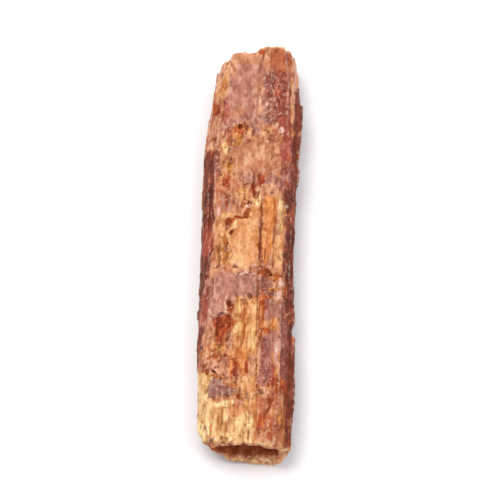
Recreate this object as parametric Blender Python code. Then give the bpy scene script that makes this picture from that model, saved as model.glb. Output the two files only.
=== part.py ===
"""Rough kyanite crystal: one broken blade, lying on its flat back cleavage face.

The blade's long axis runs along +Y, from the hollow near break to the rounded far break.
Its broad front face looks up along +Z. Places on it are given as shares:
u runs 0 to 1 along the length, v runs -1 to 1 across, h runs 0 to 1 through the thickness,
and a place on one of its long faces is a share of that face's width.
"""

import math
import random

import bmesh
import bpy
from mathutils import Vector

MM = 0.001

# Driving sizes of the whole blade
LENGTH = 45.0 * MM
HALF_WIDTH = 4.6 * MM
THICKNESS = 4.1 * MM
SEED = 31

# Kyanite's two cleavages meet at 106 degrees, so its laths are this far off square
CLEAVAGE_SHEAR = math.tan(math.radians(16))

# Half width to each side as (u, share), from the near break to the far one
LEFT_EDGE = (
    (0.00, 0.80), (0.05, 0.90), (0.15, 0.93), (0.25, 0.99), (0.42, 0.98),
    (0.60, 0.99), (0.77, 0.97), (0.87, 0.91), (0.93, 0.82), (1.00, 0.66),
)
RIGHT_EDGE = (
    (0.00, 0.87), (0.05, 0.90), (0.15, 0.92), (0.30, 0.89), (0.45, 0.88),
    (0.60, 0.88), (0.75, 0.90), (0.87, 0.92), (0.93, 0.87), (1.00, 0.76),
)

# Corners of the section as (side of the axis, share of the half width, share of the thickness),
# clockwise as seen from the near end, and the long faces that start at each of them
SECTION = (
    ("left", 0.60, 0.00),
    ("left", 0.93, 0.27),
    ("left", 1.00, 0.56),
    ("left", 0.75, 0.91),
    ("right", 0.71, 0.92),
    ("right", 0.88, 0.80),
    ("right", 1.00, 0.60),
    ("right", 0.93, 0.25),
    ("right", 0.58, 0.00),
)
LOWER_LEFT, LEFT_SIDE, LEFT_BEVEL, FRONT, RIGHT_BEVEL, RIGHT_SHOULDER, RIGHT_SIDE, LOWER_RIGHT, BACK = range(9)

# The lower left corner is broken off at the near end: how far that reaches along the blade, and
# how far it moves the first corners of the section there, across and up
CORNER_REACH = 0.095
CORNER_CUT = ((-0.36, 0.10), (-0.20, 0.22), (0.0, 0.12))

# The front face falls a little towards both breaks
END_DIP = 0.06
DIP_REACH = 0.09

# Skin plates and strips that stand on a face: name, face, from and to across that face, from and
# to along the blade, how proud they stand, how unevenly their laths end, and how much further
# along the right lath starts and ends than the left one, in mm
PLATES = (
    ("crown_skin", FRONT, 0.05, 0.72, 0.788, 1.00, 0.17, 1.10, 0.6, 0.0),
    ("crown_right", FRONT, 0.70, 1.03, 0.770, 1.00, 0.16, 1.60, -1.5, 0.0),
    ("tan_plate", FRONT, 0.24, 0.80, 0.660, 0.80, 0.10, 1.30, 0.8, 0.0),
    ("tan_edge", FRONT, -0.02, 0.25, 0.600, 0.79, 0.08, 1.50, 0.0, 0.0),
    ("shelf", FRONT, 0.66, 1.00, 0.610, 0.77, 0.06, 1.20, 0.0, 0.0),
    ("gold_plate", FRONT, 0.12, 0.665, 0.425, 0.60, 0.11, 0.70, 0.0, 0.0),
    ("orange_plate", FRONT, 0.69, 0.965, 0.418, 0.62, 0.24, 0.06, 0.0, 1.2),
    ("mauve_plate", FRONT, 0.04, 0.655, 0.345, 0.421, 0.24, 0.10, 0.5, -0.9),
    ("mauve_left", FRONT, -0.03, 0.27, 0.280, 0.380, 0.22, 1.30, 2.0, 0.0),
    ("mauve_tongue", FRONT, 0.25, 0.42, 0.315, 0.370, 0.21, 0.50, 0.0, 0.0),
    ("fibre_strips", FRONT, 0.32, 0.665, 0.145, 0.345, 0.14, 1.20, 0.0, 0.0),
    ("right_laths", FRONT, 0.70, 0.92, 0.125, 0.400, 0.18, 1.20, 0.0, 0.0),
    ("right_ledge", FRONT, 0.90, 1.04, 0.060, 0.400, 0.12, 0.80, 0.0, 0.0),
    ("heel_scab", FRONT, 0.02, 0.40, 0.155, 0.245, 0.14, 0.80, 1.2, -1.0),
    ("grey_skin", FRONT, 0.10, 0.42, 0.105, 0.165, 0.22, 0.50, 0.6, 0.8),
    ("near_fibres", FRONT, -0.04, 1.02, 0.000, 0.120, 0.15, 1.20, 0.0, 0.8),
    ("bevel_ridge_far", LEFT_BEVEL, 0.20, 0.80, 0.740, 1.00, 0.14, 0.80, 0.0, 0.0),
    ("bevel_ridge_mid", LEFT_BEVEL, 0.10, 0.55, 0.420, 0.76, 0.12, 0.80, 0.0, 0.0),
    ("bevel_ridge_near", LEFT_BEVEL, 0.30, 0.95, 0.215, 0.47, 0.10, 0.80, 0.0, 0.0),
    ("left_heel", LEFT_BEVEL, 0.05, 0.90, 0.060, 0.180, 0.12, 0.80, 0.0, 0.0),
    ("right_heel", RIGHT_SIDE, -0.25, 0.60, 0.000, 0.292, 0.26, 0.20, 0.0, 0.0),
    ("right_knob", RIGHT_SIDE, -0.30, 0.30, 0.305, 0.352, 0.26, 0.20, 0.0, 0.0),
    ("right_scale", RIGHT_SIDE, -0.30, 0.35, 0.655, 0.860, 0.24, 0.20, 0.0, 0.0),
    ("right_rail", RIGHT_SHOULDER, 0.10, 0.75, 0.330, 0.700, 0.12, 0.80, 0.0, 0.0),
    ("right_bevel_rail", RIGHT_BEVEL, 0.25, 0.95, 0.560, 0.930, 0.10, 0.80, 0.0, 0.0),
)
PLATE_LATH = 0.95 * MM
PLATE_LATH_SPREAD = (0.5, 1.7)
PLATE_UNEVEN = 0.20

# Thin laths scattered over the flanks
FLANKS = (LOWER_LEFT, LEFT_SIDE, LEFT_BEVEL, RIGHT_SHOULDER, RIGHT_SIDE, LOWER_RIGHT)
LATHS_PER_FLANK = 5
FLANK_LATH_SPAN = (0.10, 0.42)
FLANK_LATH_WIDTH = (0.16, 0.42)
FLANK_LATH_RISE = (0.08, 0.22)

# How every lath is shaped
LATH_ROOT = 0.9 * MM
LATH_CHAMFER = 0.07 * MM
LATH_OVERLAP = 0.03 * MM
LATH_WANDER = 0.06 * MM
LONG_LATH = 8.0 * MM
END_SLOPE = (0.06 * MM, 0.40 * MM)
END_SLANT = 0.30 * MM

# Shallow scars where flakes have come off the back: across it, along the blade, and depth in mm
BACK_SCARS = (
    (0.62, 1.04, 0.62, 0.80, 0.16),
    (-0.04, 0.34, 0.20, 0.33, 0.20),
    (0.10, 0.45, 0.83, 1.02, 0.24),
)

# Grooves: name, (across the front face, u) at each end, width and depth in mm
GROOVES = (
    ("seam", (0.688, 0.100), (0.676, 0.625), 0.20, 0.26),
    ("step_crack", (0.670, 0.4120), (0.985, 0.4175), 0.28, 0.44),
    ("heel_crack", (-0.04, 0.1930), (0.150, 0.1660), 0.26, 0.42),
    ("fibre_groove", (0.460, 0.120), (0.452, 0.345), 0.16, 0.16),
    ("lath_groove", (0.818, 0.120), (0.806, 0.330), 0.18, 0.22),
)
GROOVE_STATION = 2.4 * MM
GROOVE_TOP = 0.8 * MM

# Pits: across the front face, u, and radius in mm
PITS = (
    (0.260, 0.521, 0.30), (0.470, 0.560, 0.30), (0.270, 0.343, 0.34), (0.560, 0.360, 0.26),
    (0.635, 0.660, 0.28), (0.300, 0.780, 0.30), (0.190, 0.288, 0.38), (0.890, 0.370, 0.28),
    (0.760, 0.130, 0.26), (0.170, 0.468, 0.34),
)
PIT_SINK = 0.70
PIT_STRETCH = (1.0, 2.4)
PIT_ROUGHNESS = 0.42

# Chips knocked off the long edges, by the corner of the section that each edge follows
CHIPPED_EDGES = (1, 2, 3, 3, 4, 6, 7)
CHIPS_PER_EDGE = 2
CHIP_RADIUS = (0.40 * MM, 0.80 * MM)
CHIP_OUT = 0.62
CHIP_STRETCH = 2.6

# Where the blade is snapped off at each end, as (v, u), with the far end's left part shorter
FAR_PROFILE = (
    (-1.00, 0.925), (-0.78, 0.955), (-0.62, 0.977), (-0.40, 0.982), (-0.24, 0.978),
    (-0.08, 0.992), (0.06, 1.000), (0.45, 1.000), (0.62, 0.990), (0.78, 0.974), (1.00, 0.935),
)
NEAR_PROFILE = (
    (-1.00, 0.036), (-0.76, 0.022), (-0.56, 0.012), (-0.30, 0.010), (0.15, 0.010),
    (0.45, 0.006), (0.80, 0.000), (1.00, 0.006),
)
FAR_ROUNDING = 0.8 * MM
BREAK_CELL = 0.85 * MM
FAR_BREAK = (0.26 * MM, 0.13 * MM)
NEAR_BREAK = (0.18 * MM, 0.07 * MM)
BREAK_WALL = 0.09 * MM
BREAK_MARGIN = 0.9 * MM

# The hollow that opens in the near break, flatter above than below
HOLLOW_CENTRE = (0.06, 0.010, 0.55)
HOLLOW_RADII = (3.30 * MM, 2.6 * MM, 1.14 * MM)
HOLLOW_ROOF = 0.88
HOLLOW_ROUGHNESS = 0.10


def share(points, at):
    """Reads a profile of (place, value) points, straight between them."""
    for (a, low), (b, high) in zip(points, points[1:]):
        if at <= b:
            return low + (high - low) * max(0.0, (at - a) / (b - a))
    return points[-1][1]


def along(u):
    return (u - 0.5) * LENGTH


def smooth(t):
    t = min(1.0, max(0.0, t))
    return t * t * (3 - 2 * t)


def section(u):
    """The blade's outline at u, as (x, z) corners clockwise from the near end."""
    reach = {"left": -share(LEFT_EDGE, u) * HALF_WIDTH, "right": share(RIGHT_EDGE, u) * HALF_WIDTH}
    dip = END_DIP * (1 - smooth(min(u, 1 - u) / DIP_REACH))
    broken = 1 - smooth(u / CORNER_REACH)
    corners = []
    for index, (side, across, height) in enumerate(SECTION):
        if index < len(CORNER_CUT):
            across += broken * CORNER_CUT[index][0]
            height += broken * CORNER_CUT[index][1]
        if index in (FRONT, RIGHT_BEVEL):
            height -= dip
        corners.append(Vector((reach[side] * across, height * THICKNESS)))
    return corners


def on_face(u, face, across):
    """A point on a long face, the directions along and out of that face, and its width."""
    corners = section(min(1.0, max(0.0, u)))
    start = corners[face]
    run = corners[(face + 1) % len(corners)] - start
    tangent = run.normalized()
    return start + run * across, tangent, Vector((-tangent.y, tangent.x)), run.length


def mesh_of(bm, name):
    bmesh.ops.recalc_face_normals(bm, faces=bm.faces)
    mesh = bpy.data.meshes.new(name)
    bm.to_mesh(mesh)
    bm.free()
    return mesh


def mesh_from_rings(name, rings):
    """One closed solid through rings of equal count, with a face over each end."""
    bm = bmesh.new()
    loops = [[bm.verts.new(point) for point in ring] for ring in rings]
    count = len(loops[0])
    for near, far in zip(loops, loops[1:]):
        for i in range(count):
            j = (i + 1) % count
            bm.faces.new((near[i], near[j], far[j], far[i]))
    bm.faces.new(loops[0])
    bm.faces.new(loops[-1])
    return mesh_of(bm, name)


def blade_core(rng):
    """The nine-sided blade that the plates and laths stand on, flat on its back."""
    wander = 0.05 * MM
    stations = {u for u, _ in LEFT_EDGE + RIGHT_EDGE}
    stations |= {0.02, CORNER_REACH, 0.20, 0.35, 0.52, 0.68, 0.965}
    rings = []
    for u in sorted(stations):
        ring = []
        for index, corner in enumerate(section(u)):
            on_back = corner.y < 1e-6
            x = corner.x + rng.uniform(-wander, wander)
            z = corner.y + (0.0 if on_back else rng.uniform(-wander, wander))
            ring.append((x, along(u), z))
        rings.append(ring)
    return mesh_from_rings("blade_core", rings)


def lath(name, face, left, right, near, far, rise, rng, root=LATH_ROOT):
    """A thin blade grown along a long face, rooted in the core, with a snapped tip at each end."""
    slopes = [rng.uniform(*END_SLOPE) / LENGTH for _ in range(2)]
    places = [near, near + slopes[0], far - slopes[1], far]
    if (far - near) * LENGTH > LONG_LATH:
        places.insert(2, (near + far) / 2)
    slants = [rng.uniform(-END_SLANT, END_SLANT) for _ in range(2)]
    lean = rng.uniform(-0.25, 0.25) * rise
    rings = []
    for index, u in enumerate(places):
        is_tip = index in (0, len(places) - 1)
        point, tangent, out, width = on_face(u, face, (left + right) / 2)
        half = (right - left) * width / 2 + LATH_OVERLAP
        half *= rng.uniform(0.74, 0.92) if is_tip else rng.uniform(0.97, 1.04)
        lift = rise * (rng.uniform(0.05, 0.35) if is_tip else rng.uniform(0.88, 1.08))
        tilt = lean * (0.3 if is_tip else 1.0)
        drift = rng.uniform(-LATH_WANDER, LATH_WANDER)
        slant = slants[0] if index < 2 else slants[1] if index > len(places) - 3 else 0.0
        chamfer = min(LATH_CHAMFER, half * 0.4)
        shape = (
            (-half, -root),
            (-half, lift - tilt - chamfer),
            (chamfer - half, lift - tilt),
            (half - chamfer, lift + tilt),
            (half, lift + tilt - chamfer),
            (half, -root),
        )
        ring = []
        for across, height in shape:
            spot = point + tangent * (across + drift) + out * height
            z = spot.y if face == BACK else max(spot.y, 0.0)
            ring.append((spot.x, along(u) + slant * across / half, z))
        rings.append(ring)
    return mesh_from_rings(name, rings)


def plate_laths(rng):
    """The laths of every plate, side by side, each snapped at a length of its own."""
    for name, face, left, right, near, far, rise, ragged, *skews in PLATES:
        width = on_face((near + far) / 2, face, 0.0)[3] * (right - left)
        parts = [rng.uniform(*PLATE_LATH_SPREAD) for _ in range(max(1, round(width / PLATE_LATH)))]
        edge = left
        for number, part in enumerate(parts):
            start, edge = edge, edge + (right - left) * part / sum(parts)
            across = (start + edge - 2 * left) / (right - left) / 2 - 0.5
            ends = [
                end + (across * skew + rng.uniform(-ragged, ragged)) * MM / LENGTH
                for end, skew in zip((near, far), skews)
            ]
            height = rise * MM * (1 + rng.uniform(-PLATE_UNEVEN, PLATE_UNEVEN))
            yield lath(f"{name}_{number}", face, start, edge, *ends, height, rng)


def flank_laths(rng):
    """Thin laths that ridge the sides and the bevels."""
    for face in FLANKS:
        for number in range(LATHS_PER_FLANK):
            span = rng.uniform(*FLANK_LATH_SPAN)
            near = rng.uniform(0.03, 0.95 - span)
            wide = rng.uniform(*FLANK_LATH_WIDTH)
            left = rng.uniform(0.05, 0.95 - wide)
            rise = rng.uniform(*FLANK_LATH_RISE) * MM
            yield lath(f"flank_{face}_{number}", face, left, left + wide, near, near + span, rise, rng)


def back_scars(rng):
    """Flat flakes taken off the back, each as a lath that cuts."""
    outside = 0.6 * MM
    for number, (left, right, near, far, depth) in enumerate(BACK_SCARS):
        yield lath(f"back_scar_{number}", BACK, left, right, near, far, outside, rng, root=depth * MM)


def groove(name, start, end, width, depth, rng):
    """A wandering wedge that cuts a crack into the front face."""
    ends = []
    for across, u in (start, end):
        point = on_face(u, FRONT, across)[0]
        ends.append(Vector((point.x, along(u), point.y)))
    run = ends[1] - ends[0]
    side = run.normalized().cross(Vector((0, 0, 1))).normalized() * width * MM / 2
    count = max(3, round(run.length / GROOVE_STATION))
    rings = []
    for k in range(count + 1):
        size = 0.35 if k in (0, count) else rng.uniform(0.75, 1.15)
        centre = ends[0] + run * k / count + side * rng.uniform(-0.7, 0.7)
        top = Vector((0, 0, GROOVE_TOP))
        bottom = Vector((0, 0, -depth * MM * size))
        rings.append((
            centre - side * size * 2.4 + top,
            centre + side * size * 2.4 + top,
            centre + side * size * 0.25 + bottom,
            centre - side * size * 0.25 + bottom,
        ))
    return mesh_from_rings(name, rings)


def lump(name, centre, radii, roughness, rng, detail=1):
    """A rough stone-like lump, for cutting a pit, a chip or the hollow."""
    bm = bmesh.new()
    bmesh.ops.create_icosphere(bm, subdivisions=detail, radius=1.0)
    for vert in bm.verts:
        jitter = rng.uniform(1 - roughness, 1 + roughness)
        vert.co = Vector(centre) + Vector(radii) * jitter * vert.co
    return mesh_of(bm, name)


def pits(rng):
    for number, (across, u, radius) in enumerate(PITS):
        point = on_face(u, FRONT, across)[0]
        radius *= MM
        centre = (point.x, along(u), point.y + radius * PIT_SINK)
        radii = (radius * 1.15, radius * rng.uniform(*PIT_STRETCH), radius)
        yield lump(f"pit_{number}", centre, radii, PIT_ROUGHNESS, rng)


def edge_chips(rng):
    """Lumps along the long edges, mostly outside the blade, so that each takes off a small chip."""
    for number, corner in enumerate(CHIPPED_EDGES * CHIPS_PER_EDGE):
        u = rng.uniform(0.08, 0.90)
        radius = rng.uniform(*CHIP_RADIUS)
        point = section(u)[corner]
        outward = (point - Vector((0, THICKNESS / 2))).normalized() * radius * CHIP_OUT
        centre = (point.x + outward.x, along(u), point.y + outward.y)
        yield lump(f"chip_{number}", centre, (radius, radius * CHIP_STRETCH, radius), 0.22, rng)


def hollow(rng):
    v, u, h = HOLLOW_CENTRE
    centre = (v * HALF_WIDTH, along(u), h * THICKNESS)
    mesh = lump("hollow", centre, HOLLOW_RADII, HOLLOW_ROUGHNESS, rng, detail=2)
    for vert in mesh.vertices:
        above = max(0.0, vert.co.z - centre[2])
        vert.co.z -= above * (1 - HOLLOW_ROOF)
    return mesh


def far_end(x, z):
    """Where the far break falls, rounded off towards the front and the back."""
    height = abs(z / THICKNESS - 0.5) * 2
    return along(share(FAR_PROFILE, x / HALF_WIDTH)) - FAR_ROUNDING * max(0.0, height - 0.25) ** 2


def near_end(x, z):
    return along(share(NEAR_PROFILE, x / HALF_WIDTH))


def break_cutter(name, end_at, outward, short, tilt, rng):
    """A block whose inner side is a broken end: sheared cells, each snapped short by its own amount."""
    columns = round(2 * (HALF_WIDTH + BREAK_MARGIN) / BREAK_CELL)
    rows = round((THICKNESS + 2 * BREAK_MARGIN) / BREAK_CELL)
    xs = [(k + rng.uniform(-0.2, 0.2)) * BREAK_CELL - HALF_WIDTH - BREAK_MARGIN for k in range(columns + 1)]
    zs = [(k + rng.uniform(-0.2, 0.2)) * BREAK_CELL - BREAK_MARGIN for k in range(rows + 1)]
    bm = bmesh.new()
    grid = {}
    for i in range(columns):
        for j in range(rows):
            snapped = end_at((xs[i] + xs[i + 1]) / 2, (zs[j] + zs[j + 1]) / 2)
            snapped -= outward * rng.uniform(0, short)
            lean_x = rng.uniform(-tilt, tilt)
            lean_z = rng.uniform(-tilt, tilt)
            for a in (0, 1):
                for b in (0, 1):
                    z = zs[j + b] + (1 - 2 * b) * BREAK_WALL
                    x = xs[i + a] + (1 - 2 * a) * BREAK_WALL
                    x += (z - THICKNESS / 2) * CLEAVAGE_SHEAR
                    y = snapped + (2 * a - 1) * lean_x + (2 * b - 1) * lean_z
                    grid[2 * i + a, 2 * j + b] = bm.verts.new((x, y, z))
    for i in range(2 * columns - 1):
        for j in range(2 * rows - 1):
            bm.faces.new((grid[i, j], grid[i + 1, j], grid[i + 1, j + 1], grid[i, j + 1]))
    block = bmesh.ops.extrude_face_region(bm, geom=bm.faces[:])
    for vert in (part for part in block["geom"] if isinstance(part, bmesh.types.BMVert)):
        vert.co.y = outward * (LENGTH / 2 + 3 * MM)
    return mesh_of(bm, name)


def add_boolean(obj, name, operation, meshes):
    """Joins or cuts obj with helper solids, which stay out of the model itself."""
    collection = bpy.data.collections.new(name)
    bpy.context.scene.collection.children.link(collection)
    for mesh in meshes:
        helper = bpy.data.objects.new(mesh.name, mesh)
        helper.hide_render = True
        helper.display_type = "WIRE"
        collection.objects.link(helper)
    modifier = obj.modifiers.new(name, "BOOLEAN")
    modifier.operand_type = "COLLECTION"
    modifier.collection = collection
    modifier.operation = operation
    modifier.solver = "MANIFOLD"


def kyanite_material():
    """Orange kyanite: translucent, glassy to pearly on its cleavages."""
    material = bpy.data.materials.new("orange_kyanite")
    material.use_nodes = True
    shader = material.node_tree.nodes["Principled BSDF"]
    shader.inputs["Base Color"].default_value = (0.49, 0.15, 0.07, 1.0)
    shader.inputs["Roughness"].default_value = 0.40
    shader.inputs["Metallic"].default_value = 0.0
    shader.inputs["IOR"].default_value = 1.72
    return material


def kyanite_crystal():
    """The whole crystal: the core with its laths joined on, then cracked, chipped and snapped."""
    rng = random.Random(SEED)
    crystal = bpy.data.objects.new("kyanite_crystal", blade_core(rng))
    bpy.context.scene.collection.objects.link(crystal)
    crystal.data.materials.append(kyanite_material())
    add_boolean(crystal, "laths", "UNION", [*plate_laths(rng), *flank_laths(rng)])
    cracks = [groove(*facts, rng) for facts in GROOVES]
    add_boolean(crystal, "wear", "DIFFERENCE", [*cracks, *pits(rng), *edge_chips(rng), *back_scars(rng)])
    breaks = [
        break_cutter("far_break", far_end, 1, *FAR_BREAK, rng),
        break_cutter("near_break", near_end, -1, *NEAR_BREAK, rng),
    ]
    add_boolean(crystal, "breaks", "DIFFERENCE", [*breaks, hollow(rng)])
    return crystal


def main():
    for obj in list(bpy.data.objects):
        bpy.data.objects.remove(obj)
    kyanite_crystal()


main()
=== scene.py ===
# %% [markdown]
# # A rough blade of orange kyanite
#
# Kyanite grows as long flat blades. It splits very easily along the blade, so a rough piece is a
# stack of thin laths, each snapped at its own length, with a duller mauve skin left on where
# nothing has flaked off yet. Under the skin it is glassy, translucent and orange.
#
# The solid from the frame has the real size and the main forms: the blade, its plates and laths,
# the cracks and the hollow broken end. This lesson gives that solid its fine relief and its finish.

# %% Load the frame
import math
from functools import partial

import bmesh
import bpy
import numpy as np
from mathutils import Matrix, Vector, noise


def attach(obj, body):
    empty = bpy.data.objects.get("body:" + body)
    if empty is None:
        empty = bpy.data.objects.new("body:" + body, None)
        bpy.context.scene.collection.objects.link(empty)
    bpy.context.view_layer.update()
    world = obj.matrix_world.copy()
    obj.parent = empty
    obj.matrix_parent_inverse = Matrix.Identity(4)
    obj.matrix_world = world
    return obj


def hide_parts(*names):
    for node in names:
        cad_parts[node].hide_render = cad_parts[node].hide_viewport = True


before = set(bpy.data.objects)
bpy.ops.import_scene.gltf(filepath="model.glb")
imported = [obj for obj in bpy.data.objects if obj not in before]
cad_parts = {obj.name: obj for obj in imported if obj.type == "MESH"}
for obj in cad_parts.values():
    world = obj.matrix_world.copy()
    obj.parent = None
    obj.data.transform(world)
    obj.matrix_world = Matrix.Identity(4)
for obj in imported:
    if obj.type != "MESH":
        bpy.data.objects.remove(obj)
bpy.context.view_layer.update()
MM = 0.001

# %% [markdown]
# ## Helpers
#
# A node tree in a script stays readable when one small function adds a node, sets it and links it.
# Colours are picked as the eye sees them, in sRGB, and the shader wants them linear.


# %% Helpers for nodes and colours
def add(tree, kind, inputs=None, **settings):
    """Adds a node. An input is a number or a colour, or the socket that feeds it."""
    node = tree.nodes.new(kind)
    for name, value in settings.items():
        setattr(node, name, value)
    for key, value in (inputs or {}).items():
        if isinstance(value, bpy.types.NodeSocket):
            tree.links.new(value, node.inputs[key])
        else:
            node.inputs[key].default_value = value
    return node


def calculate(tree, operation, a, b):
    """The output of a new math node."""
    return add(tree, "ShaderNodeMath", {0: a, 1: b}, operation=operation).outputs[0]


def remap(tree, value, low, high, to_low=0.0, to_high=1.0):
    """The output of a new node that turns one range into another, with a soft start and end."""
    span = {0: value, 1: low, 2: high, 3: to_low, 4: to_high}
    return add(tree, "ShaderNodeMapRange", span, interpolation_type="SMOOTHSTEP").outputs[0]


def linear(hex_colour):
    """An sRGB hex colour as the linear RGBA that a shader takes."""
    parts = [int(hex_colour[i : i + 2], 16) / 255 for i in (1, 3, 5)]
    return [c / 12.92 if c <= 0.04045 else ((c + 0.055) / 1.055) ** 2.4 for c in parts] + [1.0]


# %% [markdown]
# ## A fine skin over the solid
#
# The solid has a few thousand flat faces, which is right for its main forms and too few for the
# fine relief of a broken mineral. A voxel remesh lays an even net over it, about a tenth of a
# millimetre wide. The solid itself stays as it is: the net is made on a merged copy.

# %% Remesh a copy of the solid
VOXEL = 0.116 * MM
MERGE_WITHIN = 0.001 * MM

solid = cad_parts["kyanite_crystal"]


def plain_mesh(obj):
    """Turns an object's modifiers into its mesh."""
    graph = bpy.context.evaluated_depsgraph_get()
    graph.update()
    mesh = bpy.data.meshes.new_from_object(obj.evaluated_get(graph))
    obj.modifiers.clear()
    obj.data = mesh


def remeshed_copy(name):
    bm = bmesh.new()
    bm.from_mesh(solid.data)
    bmesh.ops.remove_doubles(bm, verts=bm.verts, dist=MERGE_WITHIN)
    mesh = bpy.data.meshes.new(name)
    bm.to_mesh(mesh)
    bm.free()
    obj = bpy.data.objects.new(name, mesh)
    bpy.context.scene.collection.objects.link(obj)
    net = obj.modifiers.new("net", "REMESH")
    net.mode = "VOXEL"
    net.voxel_size = VOXEL
    plain_mesh(obj)
    return obj


crystal = remeshed_copy("kyanite_surface")
print("net:", len(crystal.data.vertices), "points")
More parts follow.
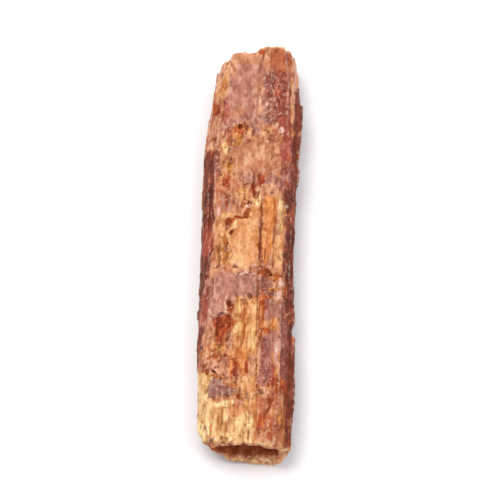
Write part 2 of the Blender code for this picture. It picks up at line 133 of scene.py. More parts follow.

# %% [markdown]
# ## What lies where
#
# The front face is a map of zones: mauve skin, tan and gold where a plate has come off, cream
# fibres, rusty stains, dark flanks that are partly painted shade, and pale specks and lines of
# painted highlight. Each zone is a set of soft patches, kept as a number on every point of the
# net. The relief and the material both read these numbers. Noise makes the borders ragged, so
# each patch can be as plain as a rounded box.

# %% Zones of the front face
# name, middle x and y, half width and half length in millimetres, strength
ZONES = {
    # Dark bands along both sides: partly the skin's own maroon, partly painted shade where the sides
    # fall into shadow
    "umber": (
        ("left band", -4.60, 3.0, 1.20, 6.8, 1.1),
        ("left band, far", -4.10, 8.0, 0.95, 2.2, 1.1),
        ("left band, near", -4.75, -7.0, 0.85, 7.0, 1.0),
        ("left band, middle", -4.20, -4.6, 0.70, 1.3, 0.9),
        ("right band", 4.40, 2.0, 1.12, 12.5, 1.0),
        ("right band, middle", 4.10, 5.5, 0.95, 3.2, 1.0),
        ("right band, near", 4.60, -15.5, 1.00, 8.5, 1.0),
        ("crown shadow", 4.50, 15.2, 0.85, 2.6, 1.0),
    ),
    "mauve": (
        ("crown", -0.80, 16.9, 2.00, 3.5, 1.1),
        ("crown foot", -1.90, 13.3, 1.20, 1.0, 0.8),
        ("crown foot, left", -2.70, 12.6, 0.45, 0.8, 0.8),
        ("crown foot, middle", 0.30, 13.0, 0.50, 1.0, 0.8),
        ("upper left", -2.30, 3.9, 0.50, 1.0, 0.9),
        ("upper band", -0.60, 6.8, 1.00, 0.6, 0.6),
        ("above the plate", 1.85, 6.5, 0.70, 0.9, 0.9),
        ("middle plate", -1.20, -5.2, 2.30, 1.3, 1.2),
        ("left wedge", -3.30, -5.8, 0.90, 1.6, 0.9),
        ("left skin", -3.00, -7.9, 1.30, 1.3, 1.1),
        ("right plate", 2.45, -7.8, 0.90, 1.1, 1.0),
        ("right laths", 2.70, -11.1, 1.00, 1.2, 1.0),
        ("near pink", 1.80, -18.2, 0.50, 0.8, 1.0),
    ),
    "peach": (
        ("crown blotch", 0.30, 16.5, 0.45, 2.8, 0.50),
        ("crown low blotch", -1.50, 14.2, 0.70, 0.5, 0.6),
        ("crown rim", -1.10, 21.1, 2.20, 0.9, 1.0),
        ("crown left rim", -2.25, 19.6, 0.30, 1.0, 0.9),
        ("tan plate", 0.00, 9.4, 1.50, 1.5, 0.9),
        ("orange plate top", 1.70, 5.6, 0.70, 0.6, 0.8),
        ("lip", -1.20, -3.60, 2.00, 0.36, 0.9),
        ("plate foot, left", -3.10, -2.9, 0.45, 0.45, 0.9),
        ("crown right edge", 3.55, 16.4, 0.22, 2.6, 0.8),
        ("orange plate foot", 1.75, -2.0, 0.25, 1.1, 0.9),
        ("ledges", -2.60, -14.2, 0.80, 0.9, 1.1),
        ("left heel", -3.60, -11.0, 0.45, 0.6, 0.9),
        ("fibres", 0.60, -13.9, 0.50, 1.4, 0.7),
        ("near rim", -0.80, -22.3, 2.20, 0.4, 0.9),
        ("right blob", 1.70, -16.7, 0.40, 0.40, 1.1),
    ),
    "pink": (
        ("crown right", 2.45, 17.2, 0.75, 2.2, 1.1),
        ("crown middle", 1.10, 17.4, 0.30, 1.5, 0.6),
        ("crown right foot", 2.75, 14.2, 0.60, 2.0, 1.0),
        ("crown left edge", -2.80, 14.8, 0.28, 1.6, 0.9),
        ("right strip", 3.05, 10.8, 0.45, 2.5, 1.0),
        ("left band", -3.95, 0.3, 0.45, 1.7, 1.0),
        ("left skin", -3.90, -7.4, 0.35, 1.6, 0.8),
        ("seam top", 0.60, 6.9, 0.28, 0.7, 0.9),
        ("under the seam", 1.60, -7.2, 0.40, 0.8, 0.8),
        ("pink lath", 2.35, -14.8, 0.32, 1.3, 0.9),
        ("near red", 1.90, -20.6, 0.40, 1.1, 1.0),
        ("near right", 2.90, -17.6, 0.40, 1.6, 0.8),
        ("near right foot", 3.20, -21.0, 0.35, 1.3, 0.8),
    ),
    "plum": (
        ("crown rough", 1.45, 17.0, 0.50, 2.0, 0.8),
        ("crown rough, low", 1.70, 14.9, 0.60, 1.2, 0.9),
        ("crown foot", 1.50, 13.5, 0.90, 0.6, 0.7),
        ("dark lath", 1.65, -14.5, 0.38, 1.6, 1.3),
        ("right band", 3.70, 7.5, 0.40, 2.4, 0.8),
        ("right strip", 2.95, 7.0, 0.40, 1.6, 1.0),
        ("left band, far", -3.50, 8.4, 0.30, 1.3, 0.8),
        ("plum line", 1.85, -12.2, 0.42, 1.5, 1.2),
        ("right lath", 3.60, -13.2, 0.35, 2.6, 1.0),
        ("under the step", 1.60, -5.2, 0.60, 1.1, 1.0),
        ("right laths", 3.35, -9.0, 0.35, 2.4, 0.9),
        ("ash, right", -1.10, -16.6, 0.50, 0.45, 0.8),
    ),
    "copper": (
        ("crown block", 2.30, 20.5, 0.95, 1.2, 1.3),
        ("crown middle rim", 0.60, 21.3, 0.90, 0.5, 0.9),
        ("lumps", -2.00, 11.8, 0.60, 0.8, 0.9),
        ("near right", 2.50, -19.6, 1.10, 2.8, 1.1),
        ("near right, far", 1.20, -18.0, 0.50, 1.0, 0.9),
        ("fibres", 0.20, -13.2, 0.50, 0.6, 0.8),
    ),
    "gold": (
        ("crown bevel", -3.25, 18.6, 0.60, 2.4, 1.0),
        ("olive lump", 1.20, 12.2, 0.55, 0.5, 1.0),
        ("upper lump", -0.70, 5.1, 0.55, 0.8, 0.9),
        ("plate, left", -2.60, 0.6, 0.45, 2.4, 1.0),
        ("plate, right", 0.50, 0.0, 0.35, 1.6, 1.1),
        ("left strip", -0.80, -9.4, 0.45, 3.0, 1.0),
        ("right strip", 0.40, -9.8, 0.65, 3.6, 1.0),
        ("right patch", 2.50, -9.1, 0.36, 0.8, 1.0),
        ("heel", -3.30, -12.1, 0.55, 0.7, 1.0),
        ("near", -0.60, -20.2, 2.20, 2.4, 0.8),
        ("near strip", 0.70, -19.6, 0.45, 2.6, 1.0),
    ),
    "honey": (
        ("gold plate", -0.85, -0.4, 1.35, 2.6, 1.3),
        ("plate, far", -1.90, 2.3, 0.80, 0.5, 0.9),
        ("plate top", 0.35, 3.4, 0.45, 1.5, 1.2),
        ("plate edge", 2.65, -1.2, 0.42, 1.9, 1.1),
        ("right strip", 0.45, -9.2, 0.42, 2.6, 0.9),
        ("column", 0.45, -16.2, 0.60, 1.3, 1.2),
    ),
    "ochre": (
        ("bevel spot", -3.05, 18.3, 0.28, 0.7, 0.9),
        ("lump", -1.60, 11.2, 0.45, 0.8, 1.0),
        ("left lumps", -2.10, 8.2, 0.40, 0.8, 0.7),
        ("plate corner", -2.50, -1.5, 0.50, 1.1, 1.8),
        ("plate corner, top", -2.35, -0.4, 0.25, 0.7, 1.1),
        ("heel", -2.30, -11.9, 0.40, 1.0, 0.9),
        ("near line", 0.25, -18.6, 0.22, 1.1, 1.0),
        ("near fibre", -1.00, -20.2, 0.08, 1.4, 1.1),
        ("under the step", 2.20, -5.5, 0.45, 0.45, 0.9),
    ),
    "orange": (
        ("orange plate", 1.75, 3.1, 0.62, 1.7, 1.2),
        ("orange plate, lower", 1.60, -0.6, 0.50, 2.4, 1.0),
        ("below the red", -2.30, -11.6, 0.60, 1.5, 1.0),
        ("fibres", -0.60, -13.4, 1.00, 1.6, 0.9),
        ("plate foot", 0.10, -1.0, 0.30, 0.4, 0.8),
    ),
    "cream": (
        ("left lumps", -2.75, 10.2, 0.30, 0.55, 0.65),
        ("plate top", 0.50, 4.2, 0.35, 0.6, 0.9),
        ("plate left", -2.65, 2.3, 0.28, 0.5, 0.9),
        ("plate border", 2.75, 2.9, 0.20, 2.1, 0.75),
        ("left strip", -0.75, -8.0, 0.22, 0.9, 0.8),
        ("strip spot", -0.80, -9.9, 0.32, 0.5, 1.0),
        ("right strip", 0.55, -10.6, 0.30, 1.3, 0.8),
        ("left border", -4.10, -16.8, 1.10, 2.3, 1.3),
        ("near left", -2.60, -20.4, 1.70, 2.0, 1.1),
        ("near middle", 0.10, -20.6, 0.95, 1.6, 0.95),
        ("near left, far", -2.00, -18.0, 1.10, 0.35, 0.9),
        ("corner rim", -3.80, -21.9, 0.60, 1.0, 1.2),
    ),
    "ash": (
        ("ash skin", -2.50, -16.3, 0.65, 0.80, 1.0),
        ("ash foot", -1.80, -16.9, 0.85, 0.45, 1.0),
        ("olive ridge", 2.20, -6.1, 0.45, 0.45, 0.9),
        ("crown foot", 0.90, 13.7, 0.50, 0.40, 0.7),
    ),
    # Painted highlights: sparkling specks, the lit arc of the lip and ridges catching the light
    "painted_highlights": (
        ("crown speck", 1.15, 15.5, 0.10, 0.22, 1.0),
        ("crown low speck", 1.40, 14.5, 0.14, 0.14, 1.0),
        ("crown right speck", 2.00, 15.2, 0.08, 0.22, 0.9),
        ("crown top speck", 1.05, 18.9, 0.10, 0.20, 0.9),
        ("foot speck", 2.45, 12.5, 0.20, 0.30, 1.0),
        ("upper speck", -0.40, 3.45, 0.28, 0.15, 0.9),
        ("plate speck", 0.35, 3.75, 0.22, 0.15, 1.0),
        ("left speck", -3.05, 3.1, 0.15, 0.6, 0.8),
        ("lip", -0.30, -3.85, 0.95, 0.14, 1.1),
        ("right speck", 3.05, -4.6, 0.20, 0.25, 1.0),
        ("ridge", 2.80, -6.0, 0.16, 0.5, 1.1),
        ("white ridge", 2.85, -12.5, 0.16, 1.0, 1.1),
    ),
    "brick": (
        ("crown rim spot", 0.40, 21.6, 0.30, 0.4, 0.8),
        ("bevel", -3.70, 14.9, 0.38, 0.9, 0.85),
        ("lumps", -1.40, 12.5, 0.50, 0.50, 1.2),
        ("left lumps", -2.45, 6.7, 0.40, 0.8, 0.9),
        ("seam top", 0.20, 5.7, 0.22, 0.7, 1.2),
        ("left line", -2.35, 4.4, 0.16, 0.9, 0.8),
        ("wedge", -1.65, -7.5, 0.28, 0.8, 1.1),
        ("under the step", 1.60, -6.5, 0.60, 0.35, 1.0),
        ("seam top, right", 0.80, 6.8, 0.26, 0.7, 1.0),
        ("red patch", -2.15, -9.4, 0.85, 0.8, 1.5),
        ("red tail", -2.45, -10.6, 0.30, 1.0, 1.0),
        ("right patch", 1.85, -9.9, 0.40, 0.50, 1.1),
        ("fibres", -0.95, -14.5, 0.30, 1.1, 0.8),
        ("fibres, right", 0.18, -14.0, 0.22, 0.5, 1.0),
        ("right laths", 3.20, -15.8, 0.70, 0.8, 0.7),
        ("near line", 1.70, -19.6, 0.40, 0.45, 1.1),
        ("near right line", 2.38, -19.6, 0.12, 2.4, 1.0),
    ),
    "rust": (
        ("lower bevel spot", -3.80, 15.2, 0.28, 0.4, 1.0),
        ("crown foot", -1.10, 12.75, 0.50, 0.26, 1.5),
        ("upper arc", -0.55, 4.45, 0.40, 0.12, 1.0),
        ("upper brown", -0.75, 3.8, 0.20, 0.35, 0.9),
        ("upper pit", -0.35, 2.75, 0.28, 0.42, 1.3),
        ("arc, left", -2.25, 1.55, 0.26, 0.42, 1.0),
        ("arc, middle", -1.75, 1.95, 0.42, 0.24, 1.0),
        ("arc, right", -1.10, 2.15, 0.45, 0.20, 1.0),
        ("red pit", -1.70, 0.85, 0.24, 0.34, 1.3),
        ("corner line", -2.10, -0.7, 0.12, 0.6, 1.0),
        ("seam", 1.02, 1.6, 0.08, 3.2, 0.9),
        ("seam, dark", 0.95, -0.85, 0.24, 0.55, 1.3),
        ("seam, foot", 1.05, -2.6, 0.20, 1.3, 1.1),
        ("orange line", 1.42, -1.8, 0.09, 0.9, 1.0),
        ("orange right line", 2.30, 2.2, 0.08, 1.9, 0.9),
        ("step", 2.00, -3.80, 1.10, 0.34, 1.6),
        ("right shade", 3.40, -5.5, 0.22, 0.7, 1.0),
        ("strip top", 0.30, -6.2, 0.20, 0.28, 1.0),
        ("notch", -1.65, -7.2, 0.12, 0.5, 1.0),
        ("streak", -1.50, -8.3, 0.14, 1.0, 1.0),
        ("red patch", -2.00, -9.2, 0.35, 0.35, 1.0),
        ("strip line", -0.25, -9.6, 0.09, 2.6, 1.0),
        ("lower seam", 1.20, -8.6, 0.20, 2.8, 1.2),
        ("brown band", 1.40, -8.4, 0.22, 1.3, 0.8),
        ("ledge, left", -3.10, -13.15, 0.50, 0.14, 1.1),
        ("ledge, middle", -2.00, -13.05, 0.45, 0.12, 1.0),
        ("ledge, right", -1.10, -13.25, 0.35, 0.12, 0.9),
        ("crack, top", -3.75, -13.9, 0.18, 0.40, 1.3),
        ("crack, foot", -3.35, -14.6, 0.20, 0.35, 1.2),
        ("ledge foot", -2.35, -15.35, 0.65, 0.12, 1.1),
        ("ash spot", -1.30, -15.9, 0.38, 0.16, 1.1),
        ("ash foot", -0.60, -17.2, 0.25, 0.30, 1.0),
        ("column spot", 1.20, -16.45, 0.16, 0.26, 1.2),
        ("right spot", 2.25, -17.4, 0.28, 0.18, 1.2),
        ("lath foot", 2.20, -15.9, 0.14, 0.30, 1.0),
        ("near spots", 3.45, -19.2, 0.18, 0.7, 0.9),
    ),
    "rough": (
        ("crown", 1.80, 16.0, 1.30, 3.4, 1.0),
        ("upper lumps", -0.50, 12.0, 3.00, 1.3, 1.0),
        ("left lumps", -2.70, 8.5, 0.90, 2.5, 0.9),
        ("right lumps", 2.00, 8.5, 0.60, 2.5, 0.8),
        ("above the plate", -0.80, 5.2, 1.80, 1.6, 0.8),
        ("plate corner", -2.20, -0.5, 0.60, 2.0, 0.6),
        ("heel", -2.60, -11.8, 1.40, 3.2, 0.9),
        ("under the step", 2.20, -5.6, 1.00, 1.2, 0.9),
        ("ash skin", -2.20, -16.0, 2.00, 1.6, 0.8),
        ("near right", 2.80, -17.5, 1.00, 1.6, 0.8),
    ),
    "smooth": (
        ("crown block", 2.40, 20.3, 0.90, 1.3, 1.0),
        ("tan plate", 0.20, 9.3, 1.80, 1.8, 0.9),
        ("gold plate", -0.60, 0.6, 1.60, 3.4, 1.0),
        ("orange plate", 1.90, 1.0, 0.90, 4.4, 0.7),
        ("strips", 0.20, -9.5, 0.70, 3.4, 0.6),
    ),
    "fibrous": (
        ("strips", 0.00, -10.5, 1.40, 3.9, 0.9),
        ("near", -0.40, -20.0, 3.60, 2.6, 1.0),
        ("near right", 2.80, -19.6, 1.20, 2.8, 1.0),
        ("right laths", 2.70, -12.0, 1.30, 4.5, 0.9),
        ("fibres", 0.00, -14.0, 1.20, 2.0, 0.9),
        ("orange plate", 1.70, 0.6, 0.80, 4.0, 0.4),
    ),
}
# How far out a patch ends and how far out it is still full, in half sizes, so that it is at
# half strength on its border
PATCH_FADE = (1.35, 0.65)
# Height in millimetres where the front face starts, and where it is full
FRONT_FADE = (1.9, 2.5)
# Distance from the middle in millimetres where a broken end starts, and where it is full
ENDS_FADE = (21.6, 22.1)
# The hollow's middle and radii in millimetres, and how far out its tone ends and is still full,
# in radii
HOLLOW = ((0.28, -22.05, 2.26), (3.30, 2.60, 1.14))
HOLLOW_FADE = (1.16, 1.04)
# How the borders wander: the size of the noise, how far it moves them across and along in
# millimetres, and its seed
WANDER_SIZE = 1.1 * MM
WANDER = (0.22, 0.50)
WANDER_SEED = 12


# %% Keep the zones as numbers on the points
def points_of(mesh):
    flat = np.empty(len(mesh.vertices) * 3, np.float32)
    mesh.vertices.foreach_get("co", flat)
    return flat.reshape(-1, 3)


def store(mesh, name, values):
    attribute = mesh.attributes.new(name, "FLOAT", "POINT")
    attribute.data.foreach_set("value", values.astype(np.float32))


def faded(values, none, full):
    return np.clip((values - none) / (full - none), 0, 1)


def wandered(points):
    """The points' x and y in millimetres, moved a little by smooth noise, so that borders wander."""
    noise.seed_set(WANDER_SEED)
    drift = [noise.noise_vector(Vector(p) * (1 / WANDER_SIZE))[:2] for p in points.tolist()]
    return points[:, :2] / MM + np.array(drift) * WANDER


def zone_values(x, y, patches):
    """The strongest patch at each point."""
    most = np.zeros(len(x))
    for _, middle_x, middle_y, half_x, half_y, strength in patches:
        across, along = np.abs((x - middle_x) / half_x), np.abs((y - middle_y) / half_y)
        out = np.cbrt(across**3 + along**3)
        most = np.maximum(most, strength * faded(out, *PATCH_FADE))
    return most


points = points_of(crystal.data)
map_x, map_y = wandered(points).T
front = faded(points[:, 2] / MM, *FRONT_FADE)
for zone, patches in ZONES.items():
    values = zone_values(map_x, map_y, patches) * front
    store(crystal.data, zone, values)
    print(zone, "covers", f"{(values > 0.5).mean():.0%}")
broken = faded(np.abs(points[:, 1]) / MM, *ENDS_FADE)
store(crystal.data, "fresh", np.maximum(front, broken))
store(crystal.data, "broken", broken)
middle, radii = (np.array(v) * MM for v in HOLLOW)
out = np.linalg.norm((points - middle) / radii, axis=1)
store(crystal.data, "hollow", faded(out, *HOLLOW_FADE))

# %% [markdown]
# ## Fine relief
#
# A cleavage surface follows a rule: it is flat, and it drops in small steps whose edges run along
# the blade. That suits Geometry Nodes. Cells of a Voronoi pattern, stretched along the blade, each
# get a height of their own, which makes laths and flakes. Noise tears their edges, lifts lumps
# where the zones say so, and rules fine fibres along the near end.

# %% Build the relief tree
RELIEF = {
    "Tear length": 0.30 * MM,
    "Tear size": 0.80 * MM,
    "Lath width": 0.42 * MM,
    "Lath length": 6.0 * MM,
    "Lath step": 0.05 * MM,
    "Flake width": 1.1 * MM,
    "Flake length": 2.4 * MM,
    "Flake step": 0.09 * MM,
    "Lump size": 0.50 * MM,
    "Lump length": 0.80 * MM,
    "Lump height": 0.11 * MM,
    "Fibre width": 0.30 * MM,
    "Fibre height": 0.08 * MM,
    "Grain size": 0.30 * MM,
    "Grain height": 0.020 * MM,
    "Seed": 4.0,
}
# The mean of a pattern's value and of its colour
MEAN = 0.5
MEAN_COLOUR = (MEAN, MEAN, MEAN)
# How far a tear reaches across, along and up, as shares of its length
TEAR_REACH = (0.4, 2.4, 0.2)
TEAR_DETAIL = 3.0
# How finely the borders of cells fray, and how far, as shares of a cell
FRAY_SCALE = 2.2
FRAY_DETAIL = 3.0
FRAY_REACH = (0.35, 0.5, 0.35)
# How much a flake or a lump tilts, and how much of its laths, flakes and grain a smooth or
# mauve place loses
FLAKE_TILT = 1.2
LUMP_TILT = 2.4
CALM = 0.80


def relief_tree():
    tree = bpy.data.node_groups.new("cleavage relief", "GeometryNodeTree")
    tree.interface.new_socket("Geometry", in_out="INPUT", socket_type="NodeSocketGeometry")
    tree.interface.new_socket("Finish", in_out="INPUT", socket_type="NodeSocketMaterial")
    for name in RELIEF:
        tree.interface.new_socket(name, in_out="INPUT", socket_type="NodeSocketFloat")
    tree.interface.new_socket("Geometry", in_out="OUTPUT", socket_type="NodeSocketGeometry")
    given = add(tree, "NodeGroupInput").outputs
    place = add(tree, "GeometryNodeInputPosition").outputs[0]
    normal = add(tree, "GeometryNodeInputNormal").outputs[0]
    calc = partial(calculate, tree)

    def vector(operation, a, b):
        return add(tree, "ShaderNodeVectorMath", {0: a, 1: b}, operation=operation).outputs[0]

    def scaled(way, length):
        inputs = {0: way, "Scale": length}
        return add(tree, "ShaderNodeVectorMath", inputs, operation="SCALE").outputs[0]

    def stretched(width, length):
        size = {0: given[width], 1: given[length], 2: given[width]}
        return vector("DIVIDE", place, add(tree, "ShaderNodeCombineXYZ", size).outputs[0])

    def noise_at(coordinates, detail):
        inputs = {"Vector": coordinates, "W": given["Seed"], "Scale": 1.0, "Detail": detail}
        return add(tree, "ShaderNodeTexNoise", inputs, noise_dimensions="4D").outputs

    def waves(width, length, height, detail):
        level = calc("SUBTRACT", noise_at(stretched(width, length), detail)[0], MEAN)
        return calc("MULTIPLY", level, given[height])

    def steps(width, length, height, tilt=0.0):
        """Flat cells with ragged edges, each at a height of its own and tilted its own way."""
        at = stretched(width, length)
        inputs = {"Vector": at, "Scale": FRAY_SCALE, "Detail": FRAY_DETAIL}
        frayed = add(tree, "ShaderNodeTexNoise", inputs).outputs[1]
        shift = vector("MULTIPLY", vector("SUBTRACT", frayed, MEAN_COLOUR), FRAY_REACH)
        at = vector("ADD", at, shift)
        inputs = {"Vector": at, "W": given["Seed"], "Scale": 1.0}
        cells = add(tree, "ShaderNodeTexVoronoi", inputs, voronoi_dimensions="4D").outputs
        lean = vector("SUBTRACT", cells["Color"], MEAN_COLOUR)
        inputs = {0: lean, 1: vector("SUBTRACT", at, cells["Position"])}
        slope = add(tree, "ShaderNodeVectorMath", inputs, operation="DOT_PRODUCT").outputs[1]
        level = add(tree, "ShaderNodeSeparateXYZ", {0: lean}).outputs[1]
        return calc("MULTIPLY", calc("ADD", level, calc("MULTIPLY", slope, tilt)), given[height])

    def zone(name):
        inputs = {"Name": name}
        return add(tree, "GeometryNodeInputNamedAttribute", inputs, data_type="FLOAT").outputs[0]

    def passed(geometry, kind, **inputs):
        return add(tree, kind, {"Geometry": geometry, **inputs}).outputs[0]

    tear = noise_at(stretched("Tear size", "Tear size"), TEAR_DETAIL)[1]
    tear = vector("MULTIPLY", vector("SUBTRACT", tear, MEAN_COLOUR), TEAR_REACH)
    torn = scaled(tear, given["Tear length"])
    stage = passed(given["Geometry"], "GeometryNodeSetPosition", Offset=torn)

    even = calc("MINIMUM", calc("MAXIMUM", zone("mauve"), zone("smooth")), 1.0)
    bare = calc("SUBTRACT", 1.0, calc("MULTIPLY", even, CALM))
    layers = (
        (steps("Lath width", "Lath length", "Lath step"), bare),
        (steps("Flake width", "Flake length", "Flake step", FLAKE_TILT), bare),
        (steps("Lump size", "Lump length", "Lump height", LUMP_TILT), zone("rough")),
        (waves("Fibre width", "Lath length", "Fibre height", detail=1.0), zone("fibrous")),
        (waves("Grain size", "Grain size", "Grain height", detail=4.0), bare),
    )
    rise = 0.0
    for level, where in layers:
        rise = calc("ADD", rise, calc("MULTIPLY", level, where))
    stage = passed(stage, "GeometryNodeSetPosition", Offset=scaled(normal, rise))

    # What would sink below the flat back is held level with it
    spot = add(tree, "ShaderNodeSeparateXYZ", {0: place}).outputs
    held = {0: spot[0], 1: spot[1], 2: calc("MAXIMUM", spot[2], 0.0)}
    held = add(tree, "ShaderNodeCombineXYZ", held).outputs[0]
    stage = passed(stage, "GeometryNodeSetPosition", Position=held)
    stage = passed(stage, "GeometryNodeRealizeInstances")
    stage = passed(stage, "GeometryNodeSetMaterial", Material=given["Finish"])
    add(tree, "NodeGroupOutput", {0: stage})
    return tree


def add_relief(obj, finish):
    values = {**RELIEF, "Finish": finish}
    modifier = obj.modifiers.new("relief", "NODES")
    modifier.node_group = relief_tree()
    for item in modifier.node_group.interface.items_tree:
        if item.in_out == "INPUT" and item.name in values:
            modifier[item.identifier] = values[item.name]
    plain_mesh(obj)


finish = bpy.data.materials.new("orange kyanite, broken")
add_relief(crystal, finish)
relief = points_of(crystal.data)
print("relief, mm:", [round(float(v), 1) for v in (relief.max(0) - relief.min(0)) / MM])

# %% [markdown]
# ## Edges and hollows
#
# Raised edges get a painted highlight, a paler colour where ridges would catch the light, and low
# places and cracks get painted shade, a dark red-brown. Both come from the shape: a point that
# stands out from the mean of the points around it is an edge, and one that lies below it is a hollow.

# %% Measure how far each point stands out
MEASURES = (
    # name, rounds of averaging, how far out is full
    ("edge", 3, 0.020 * MM),
    ("proud", 14, 0.10 * MM),
)


def neighbour_mean(values, ends, count):
    total = np.zeros_like(values)
    for a, b in (ends, ends[::-1]):
        for k in range(values.shape[1]):
            total[:, k] += np.bincount(a, values[b, k], minlength=len(values))
    return total / count[:, None]


def standing_out(mesh, rounds):
    points = points_of(mesh).astype(np.float64)
    ends = np.empty(len(mesh.edges) * 2, np.int32)
    mesh.edges.foreach_get("vertices", ends)
    ends = ends.reshape(-1, 2).T
    count = np.bincount(ends.ravel(), minlength=len(points))
    normals = np.empty(len(points) * 3, np.float32)
    mesh.vertex_normals.foreach_get("vector", normals)
    smooth = points
    for _ in range(rounds):
        smooth = neighbour_mean(smooth, ends, count)
    return ((points - smooth) * normals.reshape(-1, 3)).sum(1)


for name, rounds, full in MEASURES:
    out = standing_out(crystal.data, rounds)
    store(crystal.data, name, np.clip(out / full, -1, 1))
    print(f"{name}, mm:", round(float(np.percentile(out, 98)) / MM, 3))

# %% [markdown]
# ## The mineral
#
# Orange kyanite is a glassy silicate coloured by a trace of manganese. Its refractive index is
# about 1.72, and its cleavage faces are pearly. Light sinks in for a part of a millimetre and
# comes back orange. The colour of each zone runs from a dark to a light tone over several
# patterns: mottling, small facets, streaks along the blade, and grain.

# %% Colours of each zone, from dark to light, and how streaky it is
TONES = {
    # name: dark, middle, light, how streaky, how soft its border is
    "base": ("#9d5730", "#b97750", "#c98f66", 0.35, 0.15),
    "flank": ("#511f10", "#6d2f1c", "#8b4b38", 0.60, 0.1),
    # Umber: the sides' own maroon, darkened further as painted shade
    "umber": ("#4f1d10", "#692b1a", "#814334", 0.60, 0.15),
    "copper": ("#954620", "#a75830", "#bb7246", 0.25, 0.2),
    "mauve": ("#8d5242", "#a96c58", "#c38e78", 0.10, 0.25),
    "peach": ("#a56240", "#bd7e58", "#d5a27c", 0.20, 0.25),
    "pink": ("#7d2d1a", "#97412e", "#b36550", 0.30, 0.2),
    "plum": ("#6d2e20", "#894232", "#a5685a", 0.20, 0.25),
    "gold": ("#ac5e1e", "#c8864a", "#daa674", 0.25, 0.15),
    "honey": ("#ba7338", "#d49760", "#e4b582", 0.20, 0.2),
    "orange": ("#a14f0e", "#c97932", "#dd9b5a", 0.45, 0.15),
    "cream": ("#b67c40", "#d8ac6e", "#eed79c", 0.45, 0.15),
    "ochre": ("#8e4806", "#b66e1e", "#d0904a", 0.35, 0.12),
    "ash": ("#7c4636", "#986654", "#b08674", 0.15, 0.25),
    # Painted highlights: the pale pinkish tone of glints and lit edges
    "painted_highlights": ("#ba8474", "#d0a292", "#e2c0b0", 0.20, 0.15),
    "brick": ("#7c2202", "#a03e10", "#be6430", 0.25, 0.2),
    "rust": ("#6e2400", "#94420e", "#b46428", 0.30, 0.25),
}
COLOUR_ZONES = (
    "umber", "mauve", "plum", "pink", "copper", "gold", "peach", "orange", "honey",
    "ochre", "cream", "ash", "brick", "rust", "painted_highlights",
)
# Painted shade: the dark red-brown put into low places and cracks
CREVICE_SHADE = "#6c2404"
# Painted highlight: the pale colour of lit ridges and glinting specks
HIGHLIGHT_PALE = "#e6cdae"

# %% Patterns, masks and the shader's own numbers
PATTERNS = {
    # name: width and length in millimetres, detail, roughness
    "streaks": (0.28, 4.0, 4.0, 0.6),
    "grain": (0.28, 0.42, 5.0, 0.65),
    "mottle": (0.7, 1.5, 4.0, 0.6),
    "fray": (0.90, 1.60, 6.0, 0.75),
    "pink blotches": (1.6, 5.0, 5.0, 0.6),
    "gold blotches": (1.0, 1.9, 5.0, 0.65),
    "stains": (0.7, 1.4, 5.0, 0.6),
    "pale lip": (0.8, 0.8, 4.0, 0.6),
    "lines": (0.26, 6.0, 3.0, 0.55),
    # Painted glints: small pale specks where the skin would sparkle in the light
    "painted_glints": (0.13, 0.20, 2.0, 0.6),
    "fine": (0.10, 0.16, 3.0, 0.6),
}
FACET_SIZE = (0.45, 0.80)
MASKS = {
    # name: the value where the mask starts and the one where it ends, and how strong it is at each
    "side": (0.15, 0.75, 0.0, 1.0),
    "pink blotches": (0.58, 0.66, 0.0, 0.75),
    "gold blotches": (0.53, 0.62, 0.0, 1.0),
    "stains": (0.55, 0.66, 0.0, 0.75),
    "pale lip": (0.40, 0.55, 0.2, 0.9),
    "lines": (0.47, 0.40, 0.0, 0.75),
    # Painted glints: where the pale specks of painted highlight show
    "painted_glints": (0.60, 0.70, 0.0, 1.0),
    # low and crack: where painted shade darkens hollows and cracks
    "low": (-0.12, -0.90, 0.0, 0.60),
    "crack": (-0.40, -1.0, 0.0, 0.55),
    # rim and rim grain: where a painted highlight pales raised edges
    "rim": (0.35, 1.0, 0.0, 0.40),
    "rim grain": (0.42, 0.62, 0.0, 1.0),
    "roughness": (0.0, 1.0, 0.72, 0.30),
    "coat": (0.0, 1.0, 0.0, 0.25),
}
# What a tone is made of, and where on that sum the dark, middle and light tones lie
MOTTLE_SHARE = 0.54
FACET_SHARE = 0.20
FINE_SHARE = 0.30
STOPS = (0.42, 0.535, 0.65)
# The zone value that a border lies at, and how far noise frays it
BORDER = 0.47
FRAY = 1.8
# How much of the hollow's colour is its own tone
HOLLOW_SHARE = 0.85
# How far each zone carries painted glints, pale specks of painted highlight, or keeps them off, and
# how strong they are
GLINT_ZONES = (("mauve", 0.4), ("plum", 1.0), ("rough", 0.3), ("brick", -1.0))
GLINT_SHARE = 0.55
# How much duller the skin is, and how much the grain changes the roughness
SKIN_DULLNESS = 0.4
ROUGHNESS_SPREAD = 0.5
# How much of the bump is fine grain and how much is streaks, and how deep it looks
BUMP_SHARE = 0.5
BUMP = {"Strength": 0.6, "Distance": 0.04 * MM}
SHADER = {
    "IOR": 1.72,
    "Specular IOR Level": 0.12,
    "Coat Roughness": 0.15,
    "Subsurface Weight": 0.18,
    "Subsurface Radius": (0.9, 0.35, 0.12),
    "Subsurface Scale": 0.5 * MM,
}


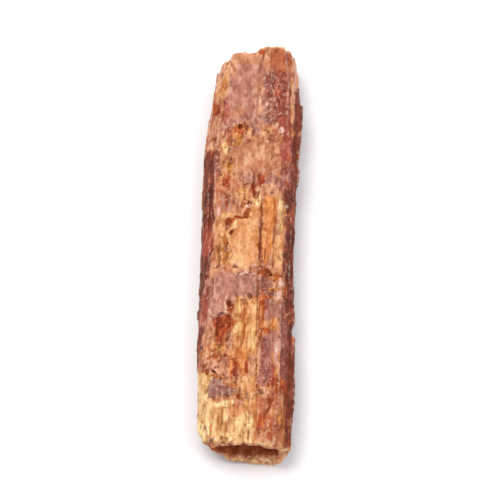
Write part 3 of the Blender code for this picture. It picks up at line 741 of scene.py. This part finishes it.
# %% Build the material
def kyanite(material):
    material.use_nodes = True
    tree = material.node_tree
    shader = tree.nodes["Principled BSDF"]
    place = add(tree, "ShaderNodeTexCoord").outputs["Object"]
    calc = partial(calculate, tree)

    def sized(width, length):
        size = (1 / (width * MM), 1 / (length * MM), 1 / (width * MM))
        return add(tree, "ShaderNodeVectorMath", {0: place, 1: size}, operation="MULTIPLY").outputs[0]

    def pattern(name):
        width, length, detail, roughness = PATTERNS[name]
        inputs = {"Scale": 1.0, "Detail": detail, "Roughness": roughness}
        return add(tree, "ShaderNodeTexNoise", {"Vector": sized(width, length), **inputs}).outputs[0]

    def mask(name, value):
        return remap(tree, value, *MASKS[name])

    def spots(name):
        return mask(name, pattern(name))

    def attribute(name):
        return add(tree, "ShaderNodeAttribute", attribute_name=name).outputs["Fac"]

    def mixed(factor, a, b):
        return add(tree, "ShaderNodeMix", {0: factor, 6: a, 7: b}, data_type="RGBA").outputs[2]

    def rest_of(value):
        return calc("SUBTRACT", 1.0, value)

    streaks = pattern("streaks")
    grain = pattern("grain")
    facets = {"Vector": sized(*FACET_SIZE), "Scale": 1.0}
    facets = add(tree, "ShaderNodeTexVoronoi", facets).outputs["Color"]
    mottled = calc("MULTIPLY", pattern("mottle"), MOTTLE_SHARE)
    broad = calc("ADD", mottled, calc("MULTIPLY", facets, FACET_SHARE))

    def tones(*colours, streaky):
        lines = calc("MULTIPLY", streaks, streaky * FINE_SHARE)
        grains = calc("MULTIPLY", grain, (1 - streaky) * FINE_SHARE)
        level = calc("ADD", broad, calc("ADD", lines, grains))
        ramp = add(tree, "ShaderNodeValToRGB", {0: level})
        stops = ramp.color_ramp.elements
        stops.new(STOPS[1])
        for stop, position, colour in zip(stops, STOPS, colours):
            stop.position = position
            stop.color = linear(colour)
        return ramp.outputs[0]

    toned = {name: tones(*colours, streaky=streaky) for name, (*colours, streaky, _) in TONES.items()}
    flank = mixed(spots("pink blotches"), toned["flank"], toned["pink"])
    patchy = mixed(spots("gold blotches"), toned["base"], toned["gold"])
    side = mask("side", attribute("fresh"))
    colour = mixed(side, flank, patchy)
    fray = calc("MULTIPLY", calc("SUBTRACT", pattern("fray"), MEAN), FRAY)
    for zone in COLOUR_ZONES:
        soft = TONES[zone][-1]
        ragged = calc("ADD", attribute(zone), fray)
        colour = mixed(remap(tree, ragged, BORDER - soft, BORDER + soft), colour, toned[zone])
    clean = rest_of(calc("MAXIMUM", attribute("mauve"), attribute("cream")))
    stained = calc("MULTIPLY", spots("stains"), clean)
    colour = mixed(calc("MULTIPLY", stained, side), colour, toned["brick"])
    lip = calc("MULTIPLY", attribute("broken"), spots("pale lip"))
    colour = mixed(lip, colour, toned["cream"])
    skin = calc("MINIMUM", calc("MAXIMUM", attribute("mauve"), attribute("plum")), 1.0)
    lined = calc("MULTIPLY", attribute("fibrous"), spots("lines"))
    colour = mixed(calc("MULTIPLY", lined, rest_of(skin)), colour, toned["ochre"])
    edge, proud = attribute("edge"), attribute("proud")
    # Painted shade: low places and cracks are darkened towards a dark red-brown
    colour = mixed(mask("low", proud), colour, linear(CREVICE_SHADE))
    colour = mixed(mask("crack", edge), colour, linear(CREVICE_SHADE))
    hollow = calc("MULTIPLY", attribute("hollow"), HOLLOW_SHARE)
    colour = mixed(hollow, colour, toned["copper"])
    # Painted glints: pale specks of painted highlight, strongest on the skin and rough places
    glint_amount = 0.0
    for zone, share in GLINT_ZONES:
        glint_amount = calc("ADD", glint_amount, calc("MULTIPLY", attribute(zone), share))
    glint_amount = calc("MULTIPLY", calc("MINIMUM", glint_amount, 1.0), GLINT_SHARE)
    painted_glints = calc("MULTIPLY", spots("painted_glints"), glint_amount)
    # Painted highlight: raised edges and glinting specks are paled, as if catching the light
    rim = calc("MULTIPLY", mask("rim", edge), mask("rim grain", grain))
    colour = mixed(calc("MAXIMUM", rim, painted_glints), colour, linear(HIGHLIGHT_PALE))
    tree.links.new(colour, shader.inputs["Base Color"])

    stain = calc("MAXIMUM", attribute("brick"), attribute("rust"))
    dull = calc("MINIMUM", calc("MAXIMUM", attribute("umber"), stain), 1.0)
    gloss = calc("MULTIPLY", side, rest_of(dull))
    fresh = calc("SUBTRACT", gloss, calc("MULTIPLY", attribute("mauve"), SKIN_DULLNESS))
    rough = calc("MULTIPLY", calc("SUBTRACT", grain, MEAN), ROUGHNESS_SPREAD)
    rough = calc("ADD", rough, mask("roughness", fresh))
    tree.links.new(rough, shader.inputs["Roughness"])
    tree.links.new(mask("coat", gloss), shader.inputs["Coat Weight"])
    for name, value in SHADER.items():
        shader.inputs[name].default_value = value
    fine = calc("MULTIPLY", pattern("fine"), BUMP_SHARE)
    height = calc("ADD", fine, calc("MULTIPLY", streaks, BUMP_SHARE))
    bump = add(tree, "ShaderNodeBump", {"Height": height, **BUMP})
    tree.links.new(bump.outputs[0], shader.inputs["Normal"])


kyanite(finish)

# %% Smooth the shading, attach the piece to the root and hide the solid it replaces
SHARP = math.radians(38)


def finish_crystal(obj):
    obj.data.shade_smooth()
    obj.data.set_sharp_from_angle(angle=SHARP)
    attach(obj, "root")
    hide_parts("kyanite_crystal")


finish_crystal(crystal)
print("faces:", sum(len(p.vertices) - 2 for p in crystal.data.polygons), "triangles")

# %% [markdown]
# ## The table, the light and the camera
#
# The crystal lies on plain white under soft light. The camera is far off with a long lens, about
# 57 degrees up and a touch to the right, so that the blade leans as it does in the picture.

# %% Floor
FLOOR = 3.0
FLOOR_DROP = 0.01 * MM


def white_floor():
    mesh = bpy.data.meshes.new("floor")
    corners = [(x * FLOOR, y * FLOOR, -FLOOR_DROP) for x, y in ((-1, -1), (1, -1), (1, 1), (-1, 1))]
    mesh.from_pydata(corners, [], [(0, 1, 2, 3)])
    floor = bpy.data.objects.new("floor", mesh)
    bpy.context.scene.collection.objects.link(floor)
    material = bpy.data.materials.new("white card")
    material.use_nodes = True
    shader = material.node_tree.nodes["Principled BSDF"]
    shader.inputs["Base Color"].default_value = linear("#f4f3f4")
    shader.inputs["Roughness"].default_value = 0.9
    shader.inputs["Specular IOR Level"].default_value = 0.1
    mesh.materials.append(material)


white_floor()

# %% Light
LIGHTS = (
    # name, place in metres, size in metres, watts, colour
    ("window", (-0.24, 0.12, 0.62), 0.60, 3.0, "#fffaf4"),
    ("fill", (0.45, -0.15, 0.50), 0.60, 1.0, "#f2f4ff"),
    ("low back", (0.10, 0.50, 0.12), 0.20, 0.5, "#fff4ea"),
)
# How bright the sky is, how bright at the horizon, and how high up the horizon's dimness reaches
SKY = 0.77
HORIZON = 0.69
HAZE = 0.35


def lights():
    for name, place, size, watts, colour in LIGHTS:
        light = bpy.data.lights.new(name, "AREA")
        light.shape = "DISK"
        light.size = size
        light.energy = watts
        light.color = linear(colour)[:3]
        lamp = bpy.data.objects.new(name, light)
        lamp.location = place
        lamp.rotation_euler = (-Vector(place)).to_track_quat("-Z", "Y").to_euler()
        bpy.context.scene.collection.objects.link(lamp)


def white_room():
    """An even white sky, as dim at the horizon as the far floor, so that the two blend."""
    world = bpy.data.worlds.new("white room")
    world.use_nodes = True
    tree = world.node_tree
    ways = add(tree, "ShaderNodeTexCoord").outputs["Generated"]
    up = add(tree, "ShaderNodeSeparateXYZ", {0: ways}).outputs[2]
    sky = tree.nodes["Background"]
    sky.inputs["Color"].default_value = linear("#fbfbff")
    tree.links.new(remap(tree, up, 0.0, HAZE, HORIZON, SKY), sky.inputs["Strength"])
    bpy.context.scene.world = world


lights()
white_room()

# %% Camera
ELEVATION = math.radians(57)
TURN = math.radians(1.93)
DISTANCE = 0.50
LENS = 385
TARGET = Vector((0.0, 0.0, 2.0 * MM))


def camera():
    data = bpy.data.cameras.new("camera")
    data.lens = LENS
    data.clip_start = 0.01
    eye = bpy.data.objects.new("camera", data)
    level = math.cos(ELEVATION)
    away = Vector((math.sin(TURN) * level, -math.cos(TURN) * level, math.sin(ELEVATION)))
    eye.location = TARGET + away * DISTANCE
    eye.rotation_euler = (-away).to_track_quat("-Z", "Y").to_euler()
    bpy.context.scene.collection.objects.link(eye)
    bpy.context.scene.camera = eye


camera()
bpy.context.scene.view_settings.view_transform = "Standard"
